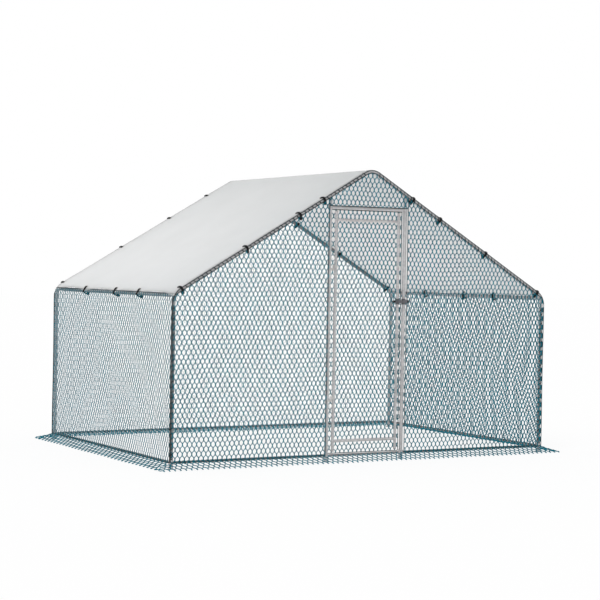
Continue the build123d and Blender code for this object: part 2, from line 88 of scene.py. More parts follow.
# Where the nets end on the tubes, and how far they bulge and drift
NET_EDGE = TUBE_RADIUS - 0.002
RAFTER_EDGE = -0.008
DOOR_NET_GAP = 0.004
NET_WAVE = 0.0012
NET_WANDER = 0.006
WANDER_FADE = 0.15

# Border wire, and lacing that is drawn as a flat wrap so that its turns show at this size
BORDER_RADIUS = 0.0028
BORDER_RINGS = 24
LACE_WIDE = 0.0045
LACE_THIN = 0.0022
LACE_PITCH = 0.034
LACE_STEPS = 12

# Skirt nets: height on the ground, fullness of the drape, stretch along the end and side walls,
# ripples and distance inside the edge
SKIRT_LIE = 0.0042
SKIRT_DRAPE = 1.1
END_STRETCH = 1.15
SIDE_STRETCH = 1.7
SKIRT_RIPPLE = 0.0012
SKIRT_MARGIN = 0.003

# Roof cover, its hem and its eyelets
COVER_LOW = 0.0129
COVER_HIGH = 0.0144
COVER_EDGE = 0.014
EAVE_SCALLOP = 0.028
RAFTER_SCALLOP = 0.011
SCALLOP_SPAN = 0.45
COVER_SAG = 0.012
SAG_STEEPNESS = 2.2
COVER_PULL = 0.0012
COVER_ROWS = 161
COVER_COLUMNS = 141
HEM_WIDTH = 0.030
HEM_STEP = 0.002
HEM_RAISE = 0.0007
EYELET_INSET = 0.026
EYELET_MIDDLE = 0.0085
EYELET_WIDE = 0.0019
EYELET_TALL = 0.0011

# Elastic ties: two strands through an eyelet, over the hem and round the tube to a ball.
# The cord is about 5 mm thick and is drawn thicker so that the ties show at this size.
STRAND_RADIUS = 0.0044
STRAND_SIDE = 0.0040
LOOP_INSIDE = -0.0275
LOOP_OUTSIDE = 0.0215
LOOP_TOP = 0.0195
LOOP_SQUARE = 4.0
LOOP_NECK = 0.25
NECK_START = 0.006
BALL_RADIUS = 0.012
BALL_FLAT = 0.94
BALL_POLE = 0.0004
BALL_DROP = 0.026
LEFT_RAFTER_TIES = (0.052, 0.526, 0.928, 1.117)
RIGHT_RAFTER_TIES = (0.052, 0.526, 0.928, 1.160)
REAR_RAFTER_TIES = (0.052, 0.526, 0.928, 1.250)
EAVE_TIES = (0.560, 0.950, 1.490)

# Studio: floor, share of the floor's glow that the camera sees, light of the sky, and sun in degrees
FLOOR_SIZE = 120.0
FLOOR_DROP = 0.0005
FLOOR_GLOW = 1.0625
FLOOR_GLOW_SEEN = 0.8
SKY_LIGHT = 0.55
SUN_STRENGTH = 1.0
SUN_SPREAD = 40
SUN_TILT = 38
SUN_TURN = -40


def linear(hex_text):
    """sRGB hex text as a linear RGBA colour."""
    value = np.array([int(hex_text[i:i + 2], 16) / 255 for i in (1, 3, 5)])
    low = value / 12.92
    high = ((value + 0.055) / 1.055) ** 2.4
    return (*np.where(value <= 0.04045, low, high), 1.0)


def per_metre(size_mm):
    """Texture scale for a pattern of one size in millimetres."""
    return 1000.0 / size_mm


def put(tree, kind, inputs=None, stops=(), **settings):
    """Adds a node, sets its properties and ramp stops, and sets or links its inputs by name."""
    made = tree.nodes.new(kind)
    for name, value in settings.items():
        setattr(made, name, value)
    for name, value in (inputs or {}).items():
        socket = made.inputs[name]
        if isinstance(value, bpy.types.NodeSocket):
            tree.links.new(value, socket)
        else:
            socket.default_value = value
    for index, (place, colour) in enumerate(stops):
        made.color_ramp.elements[index].position = place
        made.color_ramp.elements[index].color = linear(colour)
    return made


def new_material(name):
    """An empty material and its node tree."""
    material = bpy.data.materials.new(name)
    material.use_nodes = True
    material.node_tree.nodes.clear()
    return material, material.node_tree


def galvanised_steel(name, dark, pale, roughness, metallic):
    """Hot-dip zinc on steel: dull grey with crystals of slightly different grey and soft scuffs.

    The crystals are about 9 mm across, the stains about 140 mm and the grit of the skin about 3 mm."""
    material, tree = new_material(name)
    place = put(tree, "ShaderNodeTexCoord").outputs["Object"]
    spangle = put(tree, "ShaderNodeTexVoronoi", {"Vector": place, "Scale": per_metre(9.0)})
    stain = put(tree, "ShaderNodeTexNoise", {"Vector": place, "Scale": per_metre(140.0), "Detail": 5.0})
    crystal = put(tree, "ShaderNodeSeparateColor", {"Color": spangle.outputs["Color"]})
    tone = put(
        tree,
        "ShaderNodeMath",
        {0: crystal.outputs["Red"], 1: 0.45, 2: stain.outputs["Fac"]},
        operation="MULTIPLY_ADD",
    )
    colour = put(
        tree, "ShaderNodeValToRGB", {"Fac": tone.outputs["Value"]}, stops=((0.25, dark), (1.0, pale))
    )
    rough = put(
        tree,
        "ShaderNodeMapRange",
        {"Value": tone.outputs["Value"], "To Min": roughness - 0.08, "To Max": roughness + 0.10},
    )
    grit = put(tree, "ShaderNodeTexNoise", {"Vector": place, "Scale": per_metre(3.0), "Detail": 3.0})
    bump = put(tree, "ShaderNodeBump", {"Height": grit.outputs["Fac"], "Strength": 0.12, "Distance": 0.0006})
    shader = put(
        tree,
        "ShaderNodeBsdfPrincipled",
        {
            "Base Color": colour.outputs["Color"],
            "Roughness": rough.outputs["Result"],
            "Metallic": metallic,
            "Normal": bump.outputs["Normal"],
        },
    )
    put(tree, "ShaderNodeOutputMaterial", {"Surface": shader.outputs["BSDF"]})
    return material


def coated_wire(name, dark, pale):
    """Plastic-coated netting wire: dark satin coat, a little paler where it is rubbed.

    The rubbed patches are about 60 mm long and the ripples of the coat about 4 mm."""
    material, tree = new_material(name)
    place = put(tree, "ShaderNodeTexCoord").outputs["Object"]
    patch = put(tree, "ShaderNodeTexNoise", {"Vector": place, "Scale": per_metre(60.0), "Detail": 4.0})
    colour = put(
        tree, "ShaderNodeValToRGB", {"Fac": patch.outputs["Fac"]}, stops=((0.3, dark), (0.7, pale))
    )
    ripple = put(tree, "ShaderNodeTexNoise", {"Vector": place, "Scale": per_metre(4.0), "Detail": 2.0})
    bump = put(tree, "ShaderNodeBump", {"Height": ripple.outputs["Fac"], "Strength": 0.2, "Distance": 0.0004})
    shader = put(
        tree,
        "ShaderNodeBsdfPrincipled",
        {
            "Base Color": colour.outputs["Color"],
            "Roughness": 0.5,
            "Specular IOR Level": 0.08,
            "Normal": bump.outputs["Normal"],
        },
    )
    put(tree, "ShaderNodeOutputMaterial", {"Surface": shader.outputs["BSDF"]})
    return material


def woven_sheet():
    """Coated woven sheet: off-white, flat tapes crossing at right angles, dull, lets some light through.

    The tapes are about 2.5 mm wide and are drawn at 6 mm so that they show. The sheet is a little
    greyer towards the ridge: painted shade for the light that falls off along the slope."""
    material, tree = new_material("coated_woven_sheet")
    uv = put(tree, "ShaderNodeUVMap", uv_map="cloth").outputs["UV"]
    tapes = [
        put(
            tree,
            "ShaderNodeTexWave",
            {"Vector": uv, "Scale": per_metre(6.0) / pi / 2, "Distortion": 0.0},
            bands_direction=direction,
        )
        for direction in ("X", "Y")
    ]
    weave = put(
        tree,
        "ShaderNodeMath",
        {0: tapes[0].outputs["Fac"], 1: tapes[1].outputs["Fac"]},
        operation="MULTIPLY",
    )
    across = put(tree, "ShaderNodeSeparateXYZ", {"Vector": uv})
    from_ridge = put(tree, "ShaderNodeMath", {0: across.outputs["X"]}, operation="ABSOLUTE")
    cloud = put(tree, "ShaderNodeTexNoise", {"Vector": uv, "Scale": per_metre(380.0), "Detail": 5.0})
    # Painted shade: the colour ramps from grey at the ridge to paler at the hems for the fall of light along
    # the slope, with a slow cloud of random tone.
    shade = put(
        tree,
        "ShaderNodeMath",
        {0: from_ridge.outputs["Value"], 1: 1.6, 2: cloud.outputs["Fac"]},
        operation="MULTIPLY_ADD",
    )
    share = put(
        tree, "ShaderNodeMapRange", {"Value": shade.outputs["Value"], "From Min": 0.4, "From Max": 3.3}
    )
    colour = put(
        tree,
        "ShaderNodeValToRGB",
        {"Fac": share.outputs["Result"]},
        stops=((0.0, "#b1b3b3"), (1.0, "#d1d2d2")),
    )
    crease = put(tree, "ShaderNodeTexNoise", {"Vector": uv, "Scale": per_metre(90.0), "Detail": 3.0})
    height = put(
        tree,
        "ShaderNodeMath",
        {0: weave.outputs["Value"], 1: 0.35, 2: crease.outputs["Fac"]},
        operation="MULTIPLY_ADD",
    )
    bump = put(
        tree, "ShaderNodeBump", {"Height": height.outputs["Value"], "Strength": 0.25, "Distance": 0.0012}
    )
    shader = put(
        tree,
        "ShaderNodeBsdfPrincipled",
        {
            "Base Color": colour.outputs["Color"],
            "Roughness": 0.62,
            "Subsurface Weight": 1.0,
            "Subsurface Radius": (1.0, 1.0, 1.0),
            "Subsurface Scale": 0.020,
            "Normal": bump.outputs["Normal"],
        },
    )
    put(tree, "ShaderNodeOutputMaterial", {"Surface": shader.outputs["BSDF"]})
    return material


def black_moulding(name, dark, pale, grain_mm, roughness):
    """Moulded black plastic or rubber: near black, fine grain, slightly greyer on the grain tops."""
    material, tree = new_material(name)
    place = put(tree, "ShaderNodeTexCoord").outputs["Object"]
    grain = put(tree, "ShaderNodeTexNoise", {"Vector": place, "Scale": per_metre(grain_mm), "Detail": 4.0})
    colour = put(
        tree, "ShaderNodeValToRGB", {"Fac": grain.outputs["Fac"]}, stops=((0.3, dark), (0.75, pale))
    )
    bump = put(tree, "ShaderNodeBump", {"Height": grain.outputs["Fac"], "Strength": 0.3, "Distance": 0.0004})
    shader = put(
        tree,
        "ShaderNodeBsdfPrincipled",
        {
            "Base Color": colour.outputs["Color"],
            "Roughness": roughness,
            "Specular IOR Level": 0.2,
            "Normal": bump.outputs["Normal"],
        },
    )
    put(tree, "ShaderNodeOutputMaterial", {"Surface": shader.outputs["BSDF"]})
    return material


def seen_directly(tree):
    """1 where a camera, glossy or transmission ray looks at the surface, otherwise 0."""
    path = put(tree, "ShaderNodeLightPath")
    mirrored = put(
        tree,
        "ShaderNodeMath",
        {0: path.outputs["Is Glossy Ray"], 1: path.outputs["Is Transmission Ray"]},
        operation="MAXIMUM",
    )
    seen = put(
        tree,
        "ShaderNodeMath",
        {0: path.outputs["Is Camera Ray"], 1: mirrored.outputs["Value"]},
        operation="MAXIMUM",
    )
    return seen.outputs["Value"]


def white_floor():
    """Matt white studio floor that the camera sees as white and that still takes the shadow."""
    material, tree = new_material("studio_floor_white")
    matt = put(tree, "ShaderNodeBsdfDiffuse", {"Color": linear("#f4f4f4")})
    glow = put(tree, "ShaderNodeEmission", {"Color": (1, 1, 1, 1), "Strength": FLOOR_GLOW})
    share = put(
        tree,
        "ShaderNodeMapRange",
        {"Value": seen_directly(tree), "To Min": 1.0, "To Max": FLOOR_GLOW_SEEN},
    )
    both = put(
        tree,
        "ShaderNodeMixShader",
        {0: share.outputs["Result"], 1: matt.outputs["BSDF"], 2: glow.outputs["Emission"]},
    )
    put(tree, "ShaderNodeOutputMaterial", {"Surface": both.outputs["Shader"]})
    return material


def surface_mesh(name, points, faces):
    """A smooth mesh object from an array of points and an array of four-cornered faces."""
    mesh = bpy.data.meshes.new(name)
    mesh.vertices.add(len(points))
    mesh.vertices.foreach_set("co", np.ascontiguousarray(points, dtype=np.float32).ravel())
    mesh.loops.add(faces.size)
    mesh.loops.foreach_set("vertex_index", np.ascontiguousarray(faces, dtype=np.int32).ravel())
    mesh.polygons.add(len(faces))
    mesh.polygons.foreach_set("loop_start", np.arange(0, faces.size, 4, dtype=np.int32))
    mesh.update(calc_edges=True)
    mesh.validate()
    mesh.shade_smooth()
    made = bpy.data.objects.new(name, mesh)
    bpy.context.collection.objects.link(made)
    return made


def grid_faces(rows, columns, close_rows=False, close_columns=False):
    """Corner numbers of the quads of a grid of points stored row by row."""
    row = np.arange(rows if close_rows else rows - 1)
    column = np.arange(columns if close_columns else columns - 1)
    r, c = np.meshgrid(row, column, indexing="ij")
    next_r = (r + 1) % rows
    next_c = (c + 1) % columns
    corners = [r * columns + c, r * columns + next_c, next_r * columns + next_c, next_r * columns + c]
    return np.stack(corners, axis=-1).reshape(-1, 4)


def repeat_faces(faces, copies, points_each):
    """The same faces for several copies of a grid of points, one copy after another."""
    return (faces[None] + (np.arange(copies) * points_each)[:, None, None]).reshape(-1, 4)


def dress(piece, material, body, slot, *nodes):
    """Gives a piece its finish and the body it moves with, and hides the nodes it stands for; slot is not
    used.
    """
    piece.data.materials.append(material)
    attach(piece, body)
    if nodes:
        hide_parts(*nodes)
    return piece


def outline_sides(outline):
    """Corners of a convex outline and the unit direction into it from each side."""
    corners = np.asarray(outline)
    along = np.roll(corners, -1, axis=0) - corners
    inward = np.stack([-along[:, 1], along[:, 0]], axis=1)
    inward /= np.linalg.norm(inward, axis=1, keepdims=True)
    facing = np.sum(inward * (corners.mean(axis=0) - corners), axis=1, keepdims=True)
    return corners, np.where(facing > 0, inward, -inward)


def clip_to_outline(start, end, outline):
    """Parts of straight wires that lie inside a convex outline.

    For each side of the outline the share of the wire on the inner side is kept."""
    low = np.zeros(len(start))
    high = np.ones(len(start))
    for corner, inward in zip(*outline_sides(outline)):
        at_start = (start - corner) @ inward
        at_end = (end - corner) @ inward
        span = np.where(np.abs(at_start - at_end) < 1e-12, 1e-12, at_start - at_end)
        crossing = at_start / span
        low = np.where((at_start < 0) & (at_end >= 0), np.maximum(low, crossing), low)
        high = np.where((at_start >= 0) & (at_end < 0), np.minimum(high, crossing), high)
        high = np.where((at_start < 0) & (at_end < 0), -1.0, high)
    kept = high - low > SHORTEST_SHARE
    step = end - start
    return (start + step * low[:, None])[kept], (start + step * high[:, None])[kept]


def wander(points, outline):
    """Slow drift of the net in its own plane: sine waves about a metre long that fade out at the border."""
    corners, inward = outline_sides(outline)
    depth = np.min(np.sum((points[:, None, :] - corners) * inward, axis=2), axis=1)
    fade = np.clip(depth / WANDER_FADE, 0.0, 1.0)
    x, y = points[:, 0], points[:, 1]
    drift = np.stack(
        [
            np.sin(6.1 * y + 1.9 * np.sin(3.7 * x)),
            np.sin(7.3 * x + 0.6) * np.cos(4.9 * y),
        ],
        axis=1,
    )
    return points + NET_WANDER * fade[:, None] * drift


def net_wires(outline):
    """Twisted sides and slanting wires of a hexagonal net that fills a convex outline.

    Twists stand in rows, shifted by half a cell in every other row. From the top of each, two wires
    slant to the feet of the twists in the row above."""
    corners = np.asarray(outline)
    low = corners.min(axis=0)
    high = corners.max(axis=0)
    columns = np.arange(int(low[0] / CELL_WIDTH) - 2, int(high[0] / CELL_WIDTH) + 3)
    rows = np.arange(int(low[1] / CELL_RISE) - 2, int(high[1] / CELL_RISE) + 3)
    column, row = np.meshgrid(columns, rows)
    x = ((column + 0.5 * (row % 2)) * CELL_WIDTH).ravel()
    y = (row * CELL_RISE).ravel()
    foot = np.stack([x, y - TWIST_LENGTH / 2], axis=1)
    head = np.stack([x, y + TWIST_LENGTH / 2], axis=1)
    to_left = head + np.array([-CELL_WIDTH / 2, CELL_RISE - TWIST_LENGTH])
    to_right = head + np.array([CELL_WIDTH / 2, CELL_RISE - TWIST_LENGTH])
    twists = clip_to_outline(foot, head, outline)
    slants = clip_to_outline(np.concatenate([head, head]), np.concatenate([to_left, to_right]), outline)
    return [[wander(end, outline) for end in wires] for wires in (twists, slants)]


def bar_faces(rings):
    """Faces of a four-sided bar of several rings of corners, closed at both ends."""
    caps = np.array([[3, 2, 1, 0], [0, 1, 2, 3]]) + np.array([[0], [(rings - 1) * 4]])
    return np.concatenate([grid_faces(rings, 4, close_columns=True), caps])


def wire_bars(start, end, wide, thin, turn, rings):
    """Four-sided bars along straight wires, in net coordinates (across, up, out).

    Each ring of corners is a flat diamond, turned step by step from one end to the other."""
    share = np.linspace(0.0, 1.0, rings)
    run = end - start
    along = run / np.linalg.norm(run, axis=1, keepdims=True)
    beside = np.stack([-along[:, 1], along[:, 0]], axis=1)
    centre = start[:, None, :] + run[:, None, :] * share[None, :, None]
    corner = np.arange(4) * pi / 2
    angle = share * turn
    flat = wide * np.cos(corner)
    deep = thin * np.sin(corner)
    side = np.cos(angle)[:, None] * flat[None, :] - np.sin(angle)[:, None] * deep[None, :]
    out = np.sin(angle)[:, None] * flat[None, :] + np.cos(angle)[:, None] * deep[None, :]
    plane = centre[:, :, None, :] + beside[:, None, None, :] * side[None, :, :, None]
    depth = np.broadcast_to(out[None, :, :, None], plane.shape[:3] + (1,))
    points = np.concatenate([plane, depth], axis=-1)
    return points.reshape(-1, 3), repeat_faces(bar_faces(rings), len(start), rings * 4)


def lacing(start, end, radius):
    """Lacing wire round a straight tube: a flat diamond along a helix half sunk into the tube's skin.

    The helix is a circle about the axis whose angle grows evenly along the tube."""
    run = np.array(end) - np.array(start)
    length = np.linalg.norm(run)
    axis = run / length
    first = np.cross(axis, [0.0, 1.0, 0.0] if abs(axis[1]) < 0.9 else [0.0, 0.0, 1.0])
    first /= np.linalg.norm(first)
    second = np.cross(axis, first)
    rings = int(length / LACE_PITCH * LACE_STEPS)
    share = np.linspace(0.0, 1.0, rings)[:, None]
    angle = share * length / LACE_PITCH * 2 * pi
    outward = np.cos(angle) * first + np.sin(angle) * second
    ahead = radius * (np.cos(angle) * second - np.sin(angle) * first) + LACE_PITCH / (2 * pi) * axis
    ahead /= np.linalg.norm(ahead, axis=1, keepdims=True)
    beside = np.cross(ahead, outward)
    corner = np.arange(4) * pi / 2
    centre = np.array(start) + share * run + radius * outward
    points = (
        centre[:, None, :]
        + LACE_THIN * np.cos(corner)[:, None] * outward[:, None, :]
        + LACE_WIDE * np.sin(corner)[:, None] * beside[:, None, :]
    )
    return points.reshape(-1, 3), bar_faces(rings)


def joined(parts):
    """One array of points and one of faces from several."""
    counts = np.cumsum([0] + [len(points) for points, _ in parts])
    points = np.concatenate([points for points, _ in parts])
    return points, np.concatenate([faces + count for (_, faces), count in zip(parts, counts)])


def border_wire(corners, following, place):
    """Border wire: a bar from each net point to the one that follows it, carried to place."""
    ends = np.asarray(corners), np.asarray(following)
    points, faces = wire_bars(*ends, BORDER_RADIUS, BORDER_RADIUS, 0.0, BORDER_RINGS)
    return place(points), faces


def hex_net(node, outline, place, body, wire):
    """A net piece in a node's stead: twisted sides and slanting wires, carried to place.

    The twists have one more ring of corners than the slants, except in the fine rear net."""
    twists, slants = net_wires(outline)
    twist_rings = 2 if wire == REAR_WIRE else 3
    parts = [
        wire_bars(*twists, wire * TWIST_WIDE, wire * TWIST_THIN, TWIST_TURN, twist_rings),
        wire_bars(*slants, wire, wire, 0.0, 2),
    ]
    points, faces = joined(parts)
    made = surface_mesh(node.replace("_net", "_hex_net"), place(points), faces)
    return dress(made, net_coat, body, "coated_wire", node)


def wall_place(origin, across, outward, tuck=0.0):
    """Function that carries net coordinates onto an upright wall, with a slow bulge of a few millimetres.

    The bulge is a product of two sine waves over the wall. Where tuck is 1 the top leans in along the
    circle of the elbows' bend."""
    base = np.array(origin)
    u = np.array(across)
    w = np.array(outward)
    up = np.array([0.0, 0.0, 1.0])

    def carry(points):
        bulge = NET_WAVE * np.sin(points[:, 0] * 5.1) * np.sin(points[:, 1] * 6.3 + 0.7)
        rise = np.clip(points[:, 1] - EAVE_HEIGHT + EAVE_CUT, 0.0, BEND_RADIUS)
        lean = BEND_RADIUS - np.sqrt(BEND_RADIUS**2 - rise**2)
        depth = points[:, 2] + bulge - tuck * lean
        return base + points[:, :1] * u + points[:, 1:2] * up + depth[:, None] * w

    return carry


def skirt_place(origin, across, outward, wall_half, reach, stretch):
    """Function that carries net coordinates onto the skirt, draped from the bottom rail to the ground.

    The first coordinate is stretched along the wall, the second is the way out from it. The height falls
    as a power of the share of the way that is left, which runs out sooner past the wall's corners, and
    the net lies in low ripples."""
    base = np.array(origin)
    u = np.array(across)
    w = np.array(outward)
    up = np.array([0.0, 0.0, 1.0])

    def carry(points):
        side = points[:, :1] * stretch
        past = np.maximum(np.abs(side[:, 0]) - wall_half, 0.0)
        out = np.clip(np.maximum(points[:, 1], past) / reach, 0.0, 1.0)
        ripple = SKIRT_RIPPLE * out * (1 + np.sin(side[:, 0] * 9.0 + points[:, 1] * 25.0))
        height = SKIRT_LIE + (rail_height - SKIRT_LIE) * (1 - out) ** SKIRT_DRAPE + ripple + points[:, 2]
        return base + side * u + points[:, 1:2] * w + height[:, None] * up

    return carry


steel_tube = galvanised_steel("galvanised_steel_tube", "#9a999b", "#c6c5c6", 0.5, 0.25)
# Darker copy of the tube finish: painted shade for the posts, rear rafters, sill and bottom rails, which are
# the same tube as the rest.
tube_painted_shade = galvanised_steel("galvanised_tube_painted_shade", "#66686a", "#8c8e90", 0.58, 0.25)
zinc_fitting = galvanised_steel("zinc_plated_fitting", "#a09fa0", "#c8c7c6", 0.34, 0.5)
eyelet_metal = galvanised_steel("pressed_eyelet_metal", "#8f8d88", "#c2bfb8", 0.3, 0.8)
latch_steel = galvanised_steel("dark_zinc_latch_steel", "#4b4b4e", "#6c6c70", 0.45, 0.5)
net_coat = coated_wire("plastic_coated_wire", "#056274", "#0e8093")
binding_coat = coated_wire("dark_binding_wire", "#2c3436", "#454f52")
sheet_cloth = woven_sheet()
black_plastic = black_moulding("moulded_black_plastic", "#0d0f10", "#1d2021", 1.5, 0.42)
black_elastic = black_moulding("black_elastic_cord", "#0b0c0d", "#1c1e20", 2.0, 0.6)

BOTTOM_RAILS = tuple(
    f"{place}_bottom_rail" for place in ("front_left", "front_right", "left", "right", "rear")
)
# Tubes that take the darker copy of the tube finish as painted shade, where they stand low, under the roof or
# behind the nets.
PAINTED_SHADE_TUBES = (
    "front_left_post",
    "front_right_post",
    "rear_left_rafter",
    "rear_right_rafter",
    "door_sill_rail",
    *BOTTOM_RAILS,
)
SLOT_FINISH = {
    "galvanised_tube": steel_tube,
    "zinc_hardware": zinc_fitting,
    "coated_wire": net_coat,
    "cover_sheet": sheet_cloth,
    "eyelet_metal": eyelet_metal,
    "elastic_cord": black_elastic,
    "black_plastic": black_plastic,
}
NODE_FINISH = {
    **dict.fromkeys(("latch_guide", "latch_keeper", "latch_bolt"), latch_steel),
    **dict.fromkeys(PAINTED_SHADE_TUBES, tube_painted_shade),
}
for row in frame["record"]["subparts"]:
    slots = frame["nodes"][row["node"]].data.materials
    slots.clear()
    slots.append(NODE_FINISH.get(row["node"], SLOT_FINISH[row["material_slot"]]))


def rafter_height(x):
    """Height of the rafter axis at one x."""
    return RIDGE_HEIGHT - abs(x) * tan(PITCH)


def net_top(x):
    """Upper edge of an end-wall net at one x, on the lower half of the rafter."""
    return rafter_height(x) + RAFTER_EDGE / cos(PITCH)


def bend_edge(centre, first, last, edge):
    """Points round a bend of the frame at one distance outside the tube axis, between two angles."""
    angle = np.linspace(first, last, BEND_STEPS)
    radius = BEND_RADIUS + edge
    return list(zip(centre[0] + radius * np.cos(angle), centre[1] + radius * np.sin(angle)))


def middle_of(node, axis):
    """Middle of a node's box along one axis."""
    low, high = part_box(node)
    return (low[axis] + high[axis]) / 2


# Outlines of the wall nets, which end on the outer edges of the tubes
bend_height = EAVE_HEIGHT - EAVE_CUT
bend_inset = HALF_WIDTH - BEND_RADIUS
ridge_centre = (0.0, RIDGE_HEIGHT - BEND_RADIUS / cos(PITCH))
meeting = EAVE_TURN - acos((BEND_RADIUS + RAFTER_EDGE) / (BEND_RADIUS + NET_EDGE))
right_bend = bend_edge((bend_inset, bend_height), 0.0, meeting, NET_EDGE)
ridge_bend = bend_edge(ridge_centre, EAVE_TURN, pi - EAVE_TURN, RAFTER_EDGE)
left_bend = bend_edge((-bend_inset, bend_height), pi - meeting, pi, NET_EDGE)
rafter_selvage = [
    *bend_edge((bend_inset, bend_height), meeting, EAVE_TURN, NET_EDGE),
    *bend_edge(ridge_centre, EAVE_TURN, pi - EAVE_TURN, NET_EDGE),
    *bend_edge((-bend_inset, bend_height), pi - EAVE_TURN, pi - meeting, NET_EDGE),
]
rail_height = middle_of("rear_bottom_rail", 2)
wall_edge = HALF_WIDTH + NET_EDGE
side_edge = HALF_DEPTH + NET_EDGE
hinge_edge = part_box("front_left_net")[1][0]
latch_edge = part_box("front_right_net")[0][0]
gable_foot = middle_of("door_lintel", 2) - RAFTER_EDGE
eave_top = middle_of("left_eave_rail", 2) + NET_EDGE
door_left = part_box("door_hinge_post")[1][0] + DOOR_NET_GAP
door_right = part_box("door_latch_post")[0][0] - DOOR_NET_GAP
door_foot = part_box("door_sill_rail")[1][2] + DOOR_NET_GAP
door_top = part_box("door_lintel")[0][2] - DOOR_NET_GAP

front_left_outline = [
    (-wall_edge, rail_height),
    (hinge_edge, rail_height),
    (hinge_edge, net_top(hinge_edge)),
    *left_bend,
]
front_right_outline = [
    (latch_edge, rail_height),
    (wall_edge, rail_height),
    *right_bend,
    (latch_edge, net_top(latch_edge)),
]
gable_outline = [
    (hinge_edge, gable_foot),
    (latch_edge, gable_foot),
    (latch_edge, net_top(latch_edge)),
    *ridge_bend,
    (hinge_edge, net_top(hinge_edge)),
]
rear_outline = [(-wall_edge, rail_height), (wall_edge, rail_height), *right_bend, *ridge_bend, *left_bend]
side_outline = [
    (-side_edge, rail_height),
    (side_edge, rail_height),
    (side_edge, eave_top),
    (-side_edge, eave_top),
]
door_outline = [
    (door_left, door_foot),
    (door_right, door_foot),
    (door_right, door_top),
    (door_left, door_top),
]

front_net_y = middle_of("front_left_net", 1)
rear_net_y = middle_of("rear_wall_net", 1)
left_net_x = middle_of("left_wall_net", 0)
right_net_x = middle_of("right_wall_net", 0)
front_carry = wall_place((0, front_net_y, 0), (1, 0, 0), (0, -1, 0))
rear_carry = wall_place((0, rear_net_y, 0), (-1, 0, 0), (0, 1, 0))
left_carry = wall_place((left_net_x, 0, 0), (0, -1, 0), (-1, 0, 0), 1.0)
right_carry = wall_place((right_net_x, 0, 0), (0, 1, 0), (1, 0, 0), 1.0)
door_carry = wall_place((0, middle_of("door_net", 1), 0), (1, 0, 0), (0, -1, 0))


def along_tube(node):
    """Start, end and radius of a tube that runs along one axis, from its box."""
    low, high = (np.array(corner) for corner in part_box(node))
    longest = np.argmax(high - low)
    start = (low + high) / 2
    end = start.copy()
    start[longest], end[longest] = low[longest], high[longest]
    return start, end, np.min(high - low) / 2


def along_rafter(first, last):
    """Start, end and radius of a stretch of front rafter between two values of x."""
    return (first, FRONT_Y, rafter_height(first)), (last, FRONT_Y, rafter_height(last)), TUBE_RADIUS


slope_foot = HALF_WIDTH - EAVE_CUT * cos(PITCH)
slope_head = RIDGE_CUT * cos(PITCH)
LACED_TUBES = (
    "front_left_post",
    "front_right_post",
    "left_eave_rail",
    "right_eave_rail",
    *BOTTOM_RAILS,
)
binding = [lacing(*along_tube(node)) for node in LACED_TUBES]
binding += [lacing(*along_rafter(side * slope_foot, side * slope_head)) for side in (-1, 1)]
binding.append(border_wire(rafter_selvage[:-1], rafter_selvage[1:], front_carry))
for node, outline, carry, wire in (
    ("front_left_net", front_left_outline, front_carry, NEAR_WIRE),
    ("front_right_net", front_right_outline, front_carry, NEAR_WIRE),
    ("front_gable_net", gable_outline, front_carry, NEAR_WIRE),
    ("rear_wall_net", rear_outline, rear_carry, REAR_WIRE),
    ("left_wall_net", side_outline, left_carry, LEFT_WIRE),
    ("right_wall_net", side_outline, right_carry, NEAR_WIRE),
):
    hex_net(node, outline, carry, "frame", wire)
    binding.append(border_wire(outline, np.roll(outline, -1, axis=0), carry))
binding_wire = surface_mesh("net_binding_wire", *joined(binding))
dress(binding_wire, binding_coat, "frame", "coated_wire")

hex_net("door_net", door_outline, door_carry, "door", NEAR_WIRE)
door_border = border_wire(door_outline, np.roll(door_outline, -1, axis=0), door_carry)
dress(surface_mesh("door_net_border", *door_border), binding_coat, "door", "coated_wire")

# Skirt nets: from the bottom rails out over the ground
skirt_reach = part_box("front_skirt_net")[1][0] - SKIRT_MARGIN
skirt_depth = -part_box("front_skirt_net")[0][1] - SKIRT_MARGIN


def skirt(node, origin, across, outward, wall_half, half, reach, stretch):
    """One strip of skirt, as long as half each way, reaching out from the wall by reach."""
    half_net = half / stretch
    outline = [(-half_net, 0.0), (half_net, 0.0), (half_net, reach), (-half_net, reach)]
    carry = skirt_place(origin, across, outward, wall_half, reach, stretch)
    hex_net(node, outline, carry, "frame", SKIRT_WIRE)


front_reach = skirt_depth + front_net_y
side_reach = skirt_reach + left_net_x
front_foot = (0, front_net_y, 0)
rear_foot = (0, rear_net_y, 0)
left_foot = (left_net_x, 0, 0)
right_foot = (right_net_x, 0, 0)
end_sizes = (wall_edge, skirt_reach, front_reach, END_STRETCH)
side_sizes = (side_edge, side_edge, side_reach, SIDE_STRETCH)
skirt("front_skirt_net", front_foot, (-1, 0, 0), (0, -1, 0), *end_sizes)
skirt("rear_skirt_net", rear_foot, (1, 0, 0), (0, 1, 0), *end_sizes)
skirt("left_skirt_net", left_foot, (0, 1, 0), (-1, 0, 0), *side_sizes)
skirt("right_skirt_net", right_foot, (0, -1, 0), (1, 0, 0), *side_sizes)

# Section of the cover: arc over the ridge, straight slope, arc over the eave bend, hem past the rail
cover_lift = (COVER_LOW + COVER_HIGH) / 2
arc_radius = BEND_RADIUS + cover_lift
slope_length = HALF_WIDTH / cos(PITCH)
ridge_arc = arc_radius * PITCH
straight = slope_length - RIDGE_CUT - EAVE_CUT
eave_line = ridge_arc + straight + arc_radius * EAVE_TURN / 2
half_section = eave_line + COVER_EDGE
half_length = HALF_DEPTH + COVER_EDGE


